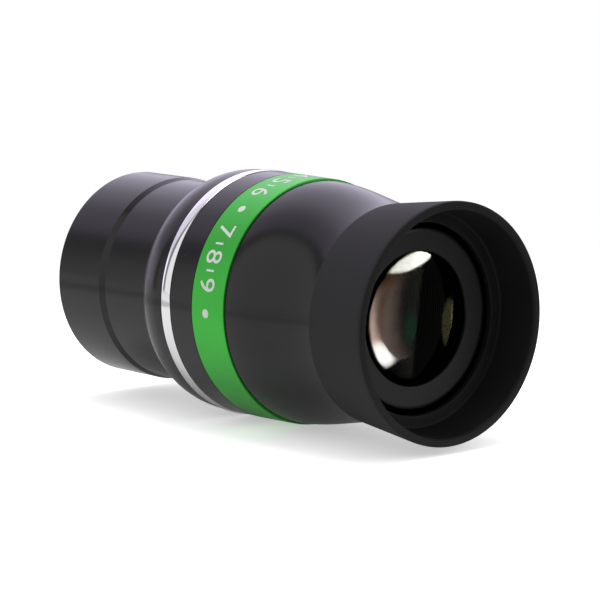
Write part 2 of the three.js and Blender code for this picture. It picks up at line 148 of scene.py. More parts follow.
SPIGOT_STEP = 2.4
SPIGOT_BORE_STEP = 4.6
NECK_REACH = 0.5
LEDGE_INSET = 7.8
UNDERCUT_DEPTH = 0.51
UNDERCUT_LENGTH = 17.2
UNDERCUT_SLOPE = 1.9
UNDERCUT_ROUND = 0.6
BARREL_TIP_CHAMFER = 0.5
BARREL_WALL = 1.95
BARREL_BORE_ROW = 1.2
FILTER_WALL = 1.6
FILTER_DEPTH = 6.0
FILTER_PITCH = 0.75
FILTER_LEAD_IN = 0.25
FILTER_STEP = 0.2
THREAD_DEPTH = 0.4
THREAD_CREST = 0.1
THREAD_MARGIN = 0.5
THREAD_ROWS = 8
BAFFLE_INSET = 0.4
SAME_RADIUS = 1e-6

# Lens cell and retaining ring in the barrel

CELL_THREAD_LENGTH = 3.7
CELL_FLANGE_LENGTH = 2
CELL_TUBE_WALL = 1.8
CELL_LEDGE_THICKNESS = 3.3
CELL_LEDGE_WIDTH = 1.3
RETAINER_WIDTH = 1.7
NOTCH_WIDTH = 2.4
NOTCH_DEPTH = 1.0

# Marks printed on the green band: a plain scale in three parts, with a dot at the ends of each

SCALE_PARTS = 3
PART_NUMERALS = 3
PART_DEGREES = 52.6
LAST_DOT_DEGREES = -1.2
DOT_RADIUS = 1.05
DOT_SEGMENTS = 40
MARK_OFFSET = 0.7
NUMERAL_HEIGHT = 5.2
NUMERAL_SMOOTHNESS = 6
TICK_LENGTH = 2.6
TICK_WIDTH = 0.5
INK_THICKNESS = 0.03
BEND_STEP = 0.4
FLAT_WELD = 1e-5

# Camera. The nearest distance it sees is in metres.

CAMERA_AT = Vector((544.12, -461.07, 105.38)) * MM
CAMERA_HEADING = math.radians(49.457)
CAMERA_TILT = math.radians(-8.475)
CAMERA_LENS = 180
CAMERA_SENSOR = 36
NEAREST_SEEN = 0.01

# Floor. Its reach, fade, dark ring and front are in metres from the middle of the piece. The camera sees its
# paper at the gain, with the lift added. The reflected glow and the dark ring are a painted glow and line
# that only glossy pieces see.

FLOOR_REACH = 1.2
FLOOR_FADE = 0.16, 0.34
FLOOR_DARK_RING_STARTS = 0.18, 0.20
FLOOR_DARK_RING_ENDS = 0.26, 0.30
FLOOR_FRONT = 0.06, 0.12
FLOOR_LIFT = 0.44
FLOOR_GAIN = 1.25
FLOOR_REFLECTED_GLOW = 0.08
PAPER_LEVEL = 0.9
DARK_RING_LEVEL = 0.5
FRONT_LEVEL = 0.2

# Studio. A brightness of 1 is plain white.
#
# A panel: heading, half width and soft edge, then lowest and highest elevation and soft edge, all in
# degrees, then brightness and colour. The narrow dark one draws the line in the silver ring.
#
# A painted reflection, seen only by mirror rays in clear glass: heading, half width, elevation and half
# height in degrees, the soft share of its radius, then brightness and colour. Each is painted over those
# before it. The frame outside which they are cut off to black has the same first five.

ROOM_LEVEL = 0.12
SOFT_LIGHT = 0.7
NEUTRAL = 1.0, 1.0, 1.0
COOL = 1.02, 0.95, 1.17
PANELS = [
    (-112, 33, 3, -12, 62, 12, 0.93, NEUTRAL),
    (-147.5, 3.8, 2, -12, 58, 6, 0.2, NEUTRAL),
    (-166.5, 14, 2, -30, 18, 8, 1.15, COOL),
    (-166.5, 14, 2, 18, 64, 8, 0.78, COOL),
    (150, 26, 10, 4, 60, 8, 1.3, COOL),
    (172, 9, 8, 4, 60, 8, 1.1, COOL),
    (45, 28, 8, -5, 30, 8, 0.6, NEUTRAL),
]
PAINTED_LENS_REFLECTIONS = [
    (19.5, 9.5, -16, 17, 0.5, 46, (1.0, 0.74, 0.66)),
    (29.4, 6.4, -17.9, 3.5, 0.4, 125, (1.0, 0.96, 1.0)),
    (39, 14.8, -6, 12.5, 0.15, 7, (1.2, 0.72, 0.52)),
    (37.8, 10.6, -8, 11.3, 0.02, 11.5, (1.1, 0.82, 0.76)),
    (48.5, 18, -6, 19, 0.35, 0.7, (1.0, 1.0, 0.9)),
    (39.5, 3.0, -11, 4, 0.5, 1.6, (0.35, 1.0, 0.6)),
    (57, 14.5, -10, 22, 0.05, 0.1, NEUTRAL),
    (38, 30, 25, 20.5, 0.03, 78, (1.0, 0.99, 0.92)),
]
PAINTED_INNER_REFLECTIONS = [
    (4.5, 5.6, -1.5, 13.5, 0.2, 0.8, (1.0, 1.0, 0.62)),
    (1.6, 1.6, -3.5, 10, 0.3, 2.0, (1.0, 1.0, 0.68)),
]
PAINTED_REFLECTIONS_FRAME = 43.3, 21.3, -8, 16.5, 0.03


# Shader graphs

class Value:
    """A number that varies over a surface, with the usual arithmetic."""

    def __init__(self, graph, socket):
        self.graph, self.socket = graph, socket

    def __add__(self, other):
        return self.graph.math("ADD", self, other)

    def __radd__(self, other):
        return self.graph.math("ADD", other, self)

    def __sub__(self, other):
        return self.graph.math("SUBTRACT", self, other)

    def __rsub__(self, other):
        return self.graph.math("SUBTRACT", other, self)

    def __mul__(self, other):
        return self.graph.math("MULTIPLY", self, other)

    def __rmul__(self, other):
        return self.graph.math("MULTIPLY", other, self)

    def __truediv__(self, other):
        return self.graph.math("DIVIDE", self, other)


class Graph:
    """The nodes of one material, lamp or world."""

    def __init__(self, owner):
        owner.use_nodes = True
        self.tree = owner.node_tree
        self.tree.nodes.clear()

    def node(self, kind, settings=None, sockets=None, output=0):
        """Adds any node: its type, its settings, then its sockets. Gives one of its outputs."""
        made = self.tree.nodes.new("ShaderNode" + kind)
        for name, value in (settings or {}).items():
            setattr(made, name, value)
        for name, value in (sockets or {}).items():
            if isinstance(value, Value):
                self.tree.links.new(value.socket, made.inputs[name])
            else:
                made.inputs[name].default_value = value
        return Value(self, made.outputs[output]) if made.outputs else made

    def math(self, operation, *terms):
        return self.node("Math", {"operation": operation}, dict(enumerate(terms)))

    def smooth(self, value, low, high):
        """0 below low, 1 above high and a smooth rise between."""
        return self.node("MapRange", {"interpolation_type": "SMOOTHSTEP"},
                         {"Value": value, "From Min": low, "From Max": high})

    def window(self, angle, low, high, soft):
        """1 where an angle in radians lies between two limits in degrees, with soft edges."""
        low, high, soft = (math.radians(limit) for limit in (low, high, soft))
        return self.smooth(angle, low - soft, low + soft) * (1 - self.smooth(angle, high - soft, high + soft))

    def mix(self, share, first, second):
        """From one colour to another."""
        return self.node("Mix", {"data_type": "RGBA"}, {0: share, 6: first, 7: second}, 2)

    def place(self, stretch=(1, 1, 1)):
        """The point on the piece, in metres, stretched along each axis."""
        here = self.node("TexCoord", output="Object")
        return self.node("VectorMath", {"operation": "MULTIPLY"}, {0: here, 1: stretch})

    def noise(self, vector, scale, detail=2.0, roughness=0.5):
        return self.node("TexNoise", None,
                         {"Vector": vector, "Scale": scale, "Detail": detail, "Roughness": roughness})

    def bump(self, height, distance, strength=1.0):
        """A normal raised by a height from 0 to 1, times a distance in metres."""
        return self.node("Bump", None, {"Height": height, "Distance": distance, "Strength": strength})

    def finish(self, sockets):
        """A Principled shader with these sockets, as the material's surface."""
        shader = self.node("BsdfPrincipled", None, sockets)
        self.node("OutputMaterial", None, {"Surface": shader})


def material(name):
    made = bpy.data.materials.new(name)
    return made, Graph(made)


def shade(level, tint=NEUTRAL):
    """A colour from its brightness, grey unless it has a tint."""
    return (*(level * part for part in tint), 1)


# Finishes. The optical axis is X, so a pattern that is fine along X and long across it runs round the piece.
# A noise has a scale, a detail and a roughness. Bump distances are in metres.

TURNED = (1, 0.02, 0.02)


def anodised_black():
    """Glossy black anodising over fine turning lines."""
    made, graph = material("black_anodised")
    turning = graph.noise(graph.place(TURNED), 9000, 2)
    cloud = graph.noise(graph.place(), 55, 3)
    dust = graph.smooth(graph.noise(graph.place(), 1900, 1), 0.74, 0.8)
    colour = graph.mix(cloud, (0.0055, 0.0052, 0.0056, 1), (0.0080, 0.0076, 0.0080, 1))
    graph.finish({
        "Base Color": graph.mix(dust * 0.25, colour, shade(0.05)),
        "Roughness": 0.14 + turning * 0.05 + cloud * 0.03 + dust * 0.1,
        "IOR": 1.4,
        "Normal": graph.bump(turning, 0.0000004),
    })
    return made


def anodised_green():
    """Satin green anodising, brushed round the band, a little darker where the dye is thicker."""
    made, graph = material("green_anodised")
    brushed = graph.noise(graph.place(TURNED), 7000, 3, 0.6)
    cloud = graph.noise(graph.place(), 70, 2)
    deep = (0.044, 0.42, 0.044, 1)
    bright = (0.066, 0.56, 0.070, 1)
    graph.finish({
        "Base Color": graph.mix(brushed * 0.6 + cloud * 0.4, deep, bright),
        "Metallic": 0.75,
        "Roughness": 0.3 + brushed * 0.12,
        "IOR": 1.5,
        "Normal": graph.bump(brushed, 0.000001),
    })
    return made


def polished_silver():
    """Bright polished aluminium with a few fine turning lines."""
    made, graph = material("polished_silver")
    turning = graph.noise(graph.place(TURNED), 12000, 2)
    smudge = graph.noise(graph.place(), 120, 3)
    graph.finish({
        "Base Color": graph.mix(smudge, (0.80, 0.80, 0.81, 1), shade(0.86)),
        "Metallic": 1.0,
        "Roughness": 0.05 + turning * 0.04 + smudge * 0.04,
        "Normal": graph.bump(turning, 0.0000006),
    })
    return made


def matt_black():
    """Matt black anodising with a fine blasted grain."""
    made, graph = material("matt_black")
    grain = graph.noise(graph.place(), 5200, 2)
    cloud = graph.noise(graph.place(), 90, 3)
    graph.finish({
        "Base Color": graph.mix(cloud, shade(0.006), shade(0.010)),
        "Roughness": 0.3 + grain * 0.1 + cloud * 0.05,
        "IOR": 1.45,
        "Normal": graph.bump(grain, 0.000012),
    })
    return made


def bright_black():
    """The polished black edge round the eye lens."""
    made, graph = material("bright_black_edge")
    turning = graph.noise(graph.place(TURNED), 9000, 2)
    graph.finish({
        "Base Color": graph.mix(turning, shade(0.004), shade(0.007)),
        "Roughness": 0.28 + turning * 0.06,
        "IOR": 1.35,
    })
    return made


def baffle_black():
    """The barrel's bore and the rings and sleeves inside: dull black with fine anti-glare grooves."""
    made, graph = material("baffle_black")
    groove = graph.node("TexWave", {"wave_type": "BANDS", "bands_direction": "X"},
                        {"Vector": graph.place(), "Scale": 320.0, "Distortion": 0.0})
    grain = graph.noise(graph.place(), 4000, 2)
    graph.finish({
        "Base Color": graph.mix(grain, shade(0.0004), (0.0016, 0.0015, 0.0015, 1)),
        "Roughness": 0.6 + grain * 0.2,
        "IOR": 1.06,
        "Normal": graph.bump(groove, 0.00008, 0.7),
    })
    return made


def moulded_rubber():
    """Soft black rubber: a fine moulded grain, with a dry bloom in places."""
    made, graph = material("moulded_rubber")
    grain = graph.noise(graph.place(), 3600, 3, 0.6)
    bloom = graph.noise(graph.place(), 45, 4, 0.6)
    bloomed = graph.smooth(bloom, 0.35, 0.75)
    colour = graph.mix(bloomed, (0.0065, 0.0061, 0.0065, 1), (0.0115, 0.0108, 0.0112, 1))
    graph.finish({
        "Base Color": graph.mix(grain * 0.3, colour, (0.016, 0.0152, 0.0157, 1)),
        "Roughness": 0.58 + bloom * 0.14 + grain * 0.06,
        "IOR": 1.4,
        "Normal": graph.bump(grain, 0.00002),
    })
    return made


def coated_glass(name, tint, index):
    """Clear optical glass whose coating gives its reflections a tint."""
    made, graph = material(name)
    melt = graph.noise(graph.place(), 180, 2)
    graph.finish({
        "Base Color": graph.mix(melt, (0.975, 0.985, 0.98, 1), shade(1.0)),
        "Roughness": 0.0,
        "IOR": index,
        "Transmission Weight": 1.0,
        "Specular Tint": (*tint, 1),
    })
    return made


def ink():
    """Pale grey ink, a little uneven as a screen print is."""
    made, graph = material("pale_ink")
    uneven = graph.noise(graph.place(), 1400, 3)
    graph.finish({
        "Base Color": graph.mix(uneven, (0.68, 0.69, 0.67, 1), (0.80, 0.81, 0.78, 1)),
        "Roughness": 0.5 + uneven * 0.1,
        "Normal": graph.bump(uneven, 0.000006),
    })
    return made


BLACK = anodised_black()
GREEN = anodised_green()
SILVER = polished_silver()
MATT = matt_black()
BRIGHT_EDGE = bright_black()
BAFFLE = baffle_black()
RUBBER = moulded_rubber()
INK = ink()
CEMENT = coated_glass("cement", (0, 0, 0), 1.0)
EYE_CROWN = coated_glass("eye_crown_glass", (0.14, 0.145, 0.13), 1.52)
EYE_FLINT = coated_glass("eye_flint_glass", (0.8, 0.8, 0.5), 1.52)
MIDDLE_CROWN = coated_glass("middle_crown_glass", (0.90, 0.50, 0.40), 1.52)
INNER_CROWN = coated_glass("inner_crown_glass", (0.10, 0.60, 0.30), 1.52)
INNER_FLINT = coated_glass("inner_flint_glass", (0.70, 0.66, 0.20), 1.62)
BARREL_CROWN = coated_glass("barrel_crown_glass", (0.45, 0.60, 0.25), 1.52)
BARREL_FLINT = coated_glass("barrel_flint_glass", (0.25, 0.55, 0.35), 1.62)


# Outlines, as (station, radius) in millimetres. A station is the distance behind the eyecup's rim plane.

RIM_X = cad_box[1].x


@cache
def span(node):
    """The stations where a node starts and ends, and its outer radius."""
    low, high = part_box(node)
    return (RIM_X - high.x) / MM, (RIM_X - low.x) / MM, high.z / MM


def rounded(corners):
    """A closed outline whose (station, radius, round) corners are cut back to curves of about that round."""
    points = []
    for index, corner in enumerate(corners):
        here = Vector(corner[:2])
        reach_wanted = corner[2] if len(corner) > 2 else 0
        before = Vector(corners[index - 1][:2]) - here
        after = Vector(corners[(index + 1) % len(corners)][:2]) - here
        if reach_wanted == 0:
            points.append(here)
            continue
        half = before.angle(after) / 2
        reach = min(reach_wanted / math.tan(half), ROUND_SHARE * before.length, ROUND_SHARE * after.length)
        start = here + before.normalized() * reach
        end = here + after.normalized() * reach
        for step in range(ROUND_STEPS + 1):
            t = step / ROUND_STEPS
            points.append(start.lerp(here, t).lerp(here.lerp(end, t), t))
    return points


def bezier(*knots):
    """Points of a cubic curve through its end knots."""
    points = []
    for step in range(CURVE_STEPS + 1):
        t = step / CURVE_STEPS
        share = (1 - t) ** 3, 3 * t * (1 - t) ** 2, 3 * t * t * (1 - t), t ** 3
        points.append(tuple(sum(knot[axis] * part for knot, part in zip(knots, share)) for axis in (0, 1)))
    return points


def dense(points, row):
    """The same closed outline with no straight stretch longer than a row."""
    filled = []
    for index, here in enumerate(points):
        there = points[(index + 1) % len(points)]
        count = max(1, math.ceil((there - here).length / row))
        filled.extend(here.lerp(there, step / count) for step in range(count))
    return filled


def sagitta(curve, height):
    """How far a sphere of the given signed radius falls behind its vertex at a height off the axis."""
    return math.copysign(abs(curve) - math.sqrt(curve * curve - height * height), curve)


def turned(name, outline, finish, body="housing", facets=FACETS, shaped=None, weighted=True):
    """A piece turned about the optical axis. shaped(station, radius, angle) may move a point."""
    bm = bmesh.new()
    rows = []
    for facet in range(facets):
        angle = 2 * math.pi * facet / facets
        row = []
        for station, radius in outline:
            if shaped:
                station, radius = shaped(station, radius, angle)
            place = (RIM_X - station * MM, radius * MM * math.sin(angle), radius * MM * math.cos(angle))
            row.append(bm.verts.new(place))
        rows.append(row)
    count = len(outline)
    for facet, row in enumerate(rows):
        following = rows[(facet + 1) % facets]
        for index in range(count):
            beside = (index + 1) % count
            bm.faces.new((row[index], row[beside], following[beside], following[index]))
    bmesh.ops.remove_doubles(bm, verts=bm.verts, dist=WELD)
    bmesh.ops.recalc_face_normals(bm, faces=bm.faces)
    mesh = bpy.data.meshes.new(name)
    bm.to_mesh(mesh)
    bm.free()
    mesh.shade_smooth()
    mesh.set_sharp_from_angle(angle=SHARP_ANGLE)
    piece = bpy.data.objects.new(name, mesh)
    bpy.context.scene.collection.objects.link(piece)
    mesh.materials.append(finish)
    if weighted:
        modifier = piece.modifiers.new("weighted", "WEIGHTED_NORMAL")
        modifier.keep_sharp = True
    if body:
        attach(piece, body)
    return piece


# Rubber eyecup

def make_eyecup():
    """One moulded cup. Its thick collar grips the housing, and its skirt flares out to the rim."""
    floor_at, back_at, _ = span("eyecup_base")
    rim_radius = span("eyecup_skirt")[2]
    plate_radius = span("eye_plate")[2]
    back_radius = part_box("eyecup_base")[1].z / MM - CUP_TAPER
    bore = back_radius - CUP_BACK_WALL
    floor_radius = plate_radius + CUP_FLOOR_GAP
    lip_radius = rim_radius - LIP_THICKNESS
    bowl_radius = span("eyecup_base")[2] - SKIRT_WALL
    outline = dense(rounded([
        (back_at, bore, SOFT_EDGE),
        (back_at, back_radius, SOFT_EDGE),
        (RIM_INSET, rim_radius),
        (0, rim_radius, RIM_ROUND),
        (0, lip_radius, LIP_INNER_ROUND),
        (floor_at, bowl_radius, BOWL_FILLET),
        (floor_at, floor_radius, SOFT_EDGE),
        (floor_at + CUP_FLOOR_THICKNESS, floor_radius, SOFT_EDGE),
        (floor_at + CUP_FLOOR_THICKNESS, bore),
    ]), CUP_ROW)
    cup = turned("rubber_eyecup", outline, RUBBER, body=None)
    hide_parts("eyecup_base", "eyecup_skirt")
    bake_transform(cup)


# Eye plate and glasses

def make_eye_plate():
    """A dished cap with a rounded edge. The polished edge at its opening takes its own finish."""
    face_at, back_at, radius = span("eye_plate")
    opening = span("eye_crown_lens")[2] - EYE_LIP_WIDTH
    lip_at = face_at + PLATE_THICKNESS
    behind, inside = PLATE_EDGE_MIDDLE
    outline = rounded([
        (lip_at, opening, EDGE / 2),
        (lip_at - EYE_LIP_THICKNESS, opening, EDGE / 2),
        (face_at + PLATE_DISH, opening + EYE_LIP_CHAMFER, EDGE / 2),
        (face_at, radius - PLATE_EDGE_ROUND, SOFT_EDGE),
        (face_at + behind * PLATE_EDGE_ROUND, radius - inside * PLATE_EDGE_ROUND, SOFT_EDGE),
        (face_at + PLATE_EDGE_ROUND, radius, SOFT_EDGE),
        (back_at, radius, EDGE),
        (back_at, radius - PLATE_WALL, EDGE),
        (lip_at, radius - PLATE_WALL),
    ])
    plate = turned("eye_plate_turned", outline, MATT)
    plate.data.materials.append(BRIGHT_EDGE)
    edge_radius = (opening + EYE_LIP_CHAMFER + EDGE / 2) * MM
    for face in plate.data.polygons:
        centre = face.center
        if math.hypot(centre.y, centre.z) < edge_radius and centre.x > RIM_X - lip_at * MM:
            face.material_index = 1
    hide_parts("eye_plate")


def make_lens(node, front_curve, back_curve, glass, cemented=None):
    """A ground lens: two spherical faces between bevelled rims, where the solid lens lies.

    Its faces shade as true spheres. The one that is cemented to the next glass, front or back, neither bends
    nor reflects light."""
    front_at, back_at, radius = span(node)
    front_rim_at = front_at + max(0, sagitta(front_curve, radius))
    back_rim_at = back_at + min(0, sagitta(back_curve, radius))
    inner = radius - LENS_BEVEL

    def face(rim_at, curve):
        vertex_at = rim_at - sagitta(curve, radius)
        heights = [inner * step / CURVE_STEPS for step in range(CURVE_STEPS + 1)]
        return [Vector((vertex_at + sagitta(curve, height), height)) for height in heights]

    front, back = face(front_rim_at, front_curve), face(back_rim_at, back_curve)
    edge = [Vector((front[-1].x + LENS_BEVEL, radius)), Vector((back[-1].x - LENS_BEVEL, radius))]
    lens = turned(node + "_ground", front + edge + back[::-1], glass, weighted=False)
    lens.data.materials.append(CEMENT)
    mesh = lens.data
    front_centre = RIM_X - (front_rim_at - sagitta(front_curve, radius) + front_curve) * MM
    back_centre = RIM_X - (back_rim_at - sagitta(back_curve, radius) + back_curve) * MM
    normals = [Vector(normal.vector) for normal in mesh.corner_normals]
    for face_of_lens in mesh.polygons:
        centre = face_of_lens.center
        if math.hypot(centre.y, centre.z) > inner * MM or abs(face_of_lens.normal.x) < LEAST_FACING:
            continue
        faces_front = face_of_lens.normal.x > 0
        if cemented and faces_front == (cemented == "front"):
            face_of_lens.material_index = 1
        sphere_x = front_centre if faces_front else back_centre
        for loop in face_of_lens.loop_indices:
            point = mesh.vertices[mesh.loops[loop].vertex_index].co
            outward = (point - Vector((sphere_x, 0, 0))).normalized()
            normals[loop] = outward if outward.dot(face_of_lens.normal) > 0 else -outward
    mesh.normals_split_custom_set(normals)
    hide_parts(node)


def make_glasses():
    make_lens("eye_crown_lens", EYE_FRONT_CURVE, EYE_CEMENT_CURVE, EYE_CROWN, "back")
    make_lens("eye_flint_lens", EYE_CEMENT_CURVE, EYE_BACK_CURVE, EYE_FLINT, "front")
    make_lens("middle_lens", MIDDLE_FRONT_CURVE, MIDDLE_BACK_CURVE, MIDDLE_CROWN)
    make_lens("inner_crown_lens", INNER_FRONT_CURVE, INNER_CEMENT_CURVE, INNER_CROWN, "back")
    make_lens("inner_flint_lens", INNER_CEMENT_CURVE, INNER_BACK_CURVE, INNER_FLINT, "front")
    make_lens("barrel_crown_lens", BARREL_FRONT_CURVE, BARREL_CEMENT_CURVE, BARREL_CROWN, "back")
    make_lens("barrel_flint_lens", BARREL_CEMENT_CURVE, BARREL_BACK_CURVE, BARREL_FLINT, "front")


# Housings and rings

def make_upper_housing():
    """The long housing: straight at the neck under the eyecup, then an easy flare out to the green band."""
    collar_at, spigot_end_at, _ = span("upper_housing")
    neck_at = span("eyecup_base")[1] + SEAM
    band_at = span("green_band")[0] - SEAM
    upper_radius = span("green_band")[2] - BAND_TAPER - BAND_STEP
    neck_radius = upper_radius - UPPER_FLARE
    collar_radius = span("eyecup_base")[2] - CUP_TAPER - CUP_BACK_WALL - FIT
    bore = neck_radius - HOUSING_WALL
    handle = (band_at - neck_at) / 3
    flare = bezier((neck_at, neck_radius), (neck_at + handle, neck_radius),
                   (band_at - handle, upper_radius), (band_at, upper_radius))
    outline = rounded([
        (collar_at, bore),
        (collar_at, collar_radius, EDGE),
        (neck_at, collar_radius),
        (neck_at, neck_radius, EDGE),
        *flare[1:-1],
        (band_at, upper_radius, EDGE / 2),
        (band_at, upper_radius - HOUSING_WALL),
        (spigot_end_at, upper_radius - HOUSING_WALL),
        (spigot_end_at, bore),
    ])
    housing = turned("upper_housing_turned", outline, BLACK)
    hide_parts("upper_housing")


def make_green_band():
    """A sleeve that widens a little towards the barrel."""
    front_at, back_at, radius = span("green_band")
    outline = rounded([
        (front_at, radius - BAND_WALL),
        (front_at, radius - BAND_TAPER, BAND_FRONT_ROUND),
        (back_at, radius, BAND_BACK_ROUND),
        (back_at, radius - BAND_WALL),
    ])
    band = turned("green_band_turned", outline, GREEN)
    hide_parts("green_band")


def make_middle_housing():
    """The short black ring between the bands, with the spigot that carries the silver ring."""
    front_at = span("green_band")[1] + SEAM
    back_at = span("silver_ring")[0] - SEAM
    radius = span("middle_housing")[2]
    spigot_end_at = span("middle_housing")[1]
    outline = rounded([
        (front_at, radius - BAND_WALL),
        (front_at, radius, BODY_CHAMFER),
        (back_at, radius, BODY_CHAMFER),
        (back_at, radius - BAND_WALL),
        (spigot_end_at, radius - BAND_WALL),
        (spigot_end_at, radius - 2 * BAND_WALL),
        (front_at, radius - 2 * BAND_WALL),
    ])
    housing = turned("middle_housing_turned", outline, BLACK)
    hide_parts("middle_housing")


def make_silver_ring():
    """A narrow ring, crowned a little from edge to edge."""
    front_at, back_at, radius = span("silver_ring")
    middle_at, reach = (front_at + back_at) / 2, (back_at - front_at) / 2
    crown = []
    for step in range(2 * ROUND_STEPS + 1):
        angle = math.pi * step / (2 * ROUND_STEPS)
        crown.append((middle_at - reach * math.cos(angle), radius - RING_BULGE * (1 - math.sin(angle))))
    inner = radius - BAND_WALL
    outline = [Vector(point) for point in [(front_at, inner), *crown, (back_at, inner)]]
    ring = turned("silver_ring_turned", outline, SILVER)
    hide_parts("silver_ring")


def make_lower_housing():
    """The shoulder rounds off in one long curve down to a narrow flat seat beside the barrel."""
    front_at, seat_at, radius = span("lower_housing")
    seat_radius = radius - SHOULDER_DROP
    start_at = seat_at - SHOULDER_LENGTH
    fall, height = SHOULDER_FALL
    shoulder = bezier((start_at, radius), (start_at + SHOULDER_LEAD, radius),
                      (seat_at - fall, seat_radius + height), (seat_at, seat_radius))
    neck_radius = span("barrel")[2] - UNDERCUT_DEPTH
    outline = rounded([
        (front_at, radius - BAND_WALL),
        (front_at, radius, BODY_CHAMFER),
        *shoulder[:-1],
        (seat_at, seat_radius, EDGE),
        (seat_at, neck_radius + FIT, EDGE / 2),
        (seat_at - SEAT_RECESS, neck_radius + FIT),
        (seat_at - SEAT_RECESS, neck_radius - LOWER_BORE_INSET),
        (front_at, neck_radius - LOWER_BORE_INSET),
    ])
    housing = turned("lower_housing_turned", outline, BLACK)
    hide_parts("lower_housing")


# Marks on the band

def on_band(across, along, degrees, lift):
    """A point of the band's surface: across and along the print in millimetres, from a mark's own angle.

    Angles start at the side that faces the camera and rise towards the top. The print reads downwards,
    with its top towards the eye."""
    front_at, back_at, back_radius = span("green_band")
    middle_at = (front_at + back_at) / 2 + MARK_OFFSET
    station = middle_at - across
    share = (station - front_at) / (back_at - front_at)
    radius = back_radius - BAND_TAPER * (1 - share) + lift
    angle = math.radians(degrees) - along / radius
    return RIM_X - station * MM, -radius * MM * math.cos(angle), radius * MM * math.sin(angle)


def printed(bm, shape, degrees):
    """Lays a flat shape on the band as a skin of ink, cut fine enough to bend round it."""
    low = min(vert.co.x for vert in shape.verts)
    high = max(vert.co.x for vert in shape.verts)
    for step in range(1, math.ceil((high - low) / BEND_STEP)):
        geometry = shape.verts[:] + shape.edges[:] + shape.faces[:]
        cut_at = (low + step * BEND_STEP, 0, 0)
        bmesh.ops.bisect_plane(shape, geom=geometry, plane_co=cut_at, plane_no=(1, 0, 0), dist=FLAT_WELD)
    shape.verts.index_update()
    laid = [bm.verts.new(on_band(vert.co.y, vert.co.x, degrees, INK_THICKNESS)) for vert in shape.verts]
    sunk = [bm.verts.new(on_band(vert.co.y, vert.co.x, degrees, -INK_THICKNESS)) for vert in shape.verts]
    for face in shape.faces:
        bm.faces.new([laid[vert.index] for vert in face.verts])
    for edge in shape.edges:
        if len(edge.link_faces) == 1:
            first, second = (vert.index for vert in edge.verts)
            bm.faces.new([laid[first], laid[second], sunk[second], sunk[first]])
    shape.free()


def numeral_shape(text):
    """A plain numeral as flat faces in millimetres, centred on its own middle."""
    curve = bpy.data.curves.new("numeral", "FONT")
    curve.body = text
    curve.align_x, curve.align_y = "CENTER", "CENTER"
    curve.resolution_u = NUMERAL_SMOOTHNESS
    writer = bpy.data.objects.new("numeral", curve)
    bpy.context.scene.collection.objects.link(writer)
    bpy.context.view_layer.update()
    flat = bpy.data.meshes.new_from_object(writer)
    shape = bmesh.new()
    shape.from_mesh(flat)
    bpy.data.objects.remove(writer)
    bpy.data.meshes.remove(flat)
    bmesh.ops.remove_doubles(shape, verts=shape.verts, dist=FLAT_WELD)
    low = Vector(min(vert.co[axis] for vert in shape.verts) for axis in range(3))
    high = Vector(max(vert.co[axis] for vert in shape.verts) for axis in range(3))
    size = NUMERAL_HEIGHT / (high.y - low.y)
    for vert in shape.verts:
        vert.co = (vert.co - (low + high) / 2) * size
    return shape


def tick_shape():
    shape = bmesh.new()
    half_width, half_length = TICK_WIDTH / 2, TICK_LENGTH / 2
    corners = [(-half_width, -half_length), (half_width, -half_length),
               (half_width, half_length), (-half_width, half_length)]
    shape.faces.new([shape.verts.new((*corner, 0)) for corner in corners])
    return shape


def dot_shape():
    shape = bmesh.new()
    bmesh.ops.create_circle(shape, cap_ends=True, radius=DOT_RADIUS, segments=DOT_SEGMENTS)
    return shape


def make_marks():
    """A scale that reads downwards, from over the top to the side: numerals 1 to 9 with a tick between
    each, and a dot at the ends of every third part."""
    bm = bmesh.new()
    step = PART_DEGREES / (PART_NUMERALS + 1)
    for part in range(SCALE_PARTS + 1):
        dot_at = LAST_DOT_DEGREES + (SCALE_PARTS - part) * PART_DEGREES
        printed(bm, dot_shape(), dot_at)
        if part == SCALE_PARTS:
            break
        for place in range(PART_NUMERALS):
            numeral_at = dot_at - (place + 1) * step
            printed(bm, numeral_shape(str(part * PART_NUMERALS + place + 1)), numeral_at)
            if place:
                printed(bm, tick_shape(), numeral_at + step / 2)
    bmesh.ops.recalc_face_normals(bm, faces=bm.faces)
    mesh = bpy.data.meshes.new("band_marks")
    bm.to_mesh(mesh)
    bm.free()
    mesh.materials.append(INK)
    marks = bpy.data.objects.new("band_marks", mesh)
    bpy.context.scene.collection.objects.link(marks)
    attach(marks, "housing")


# Barrel

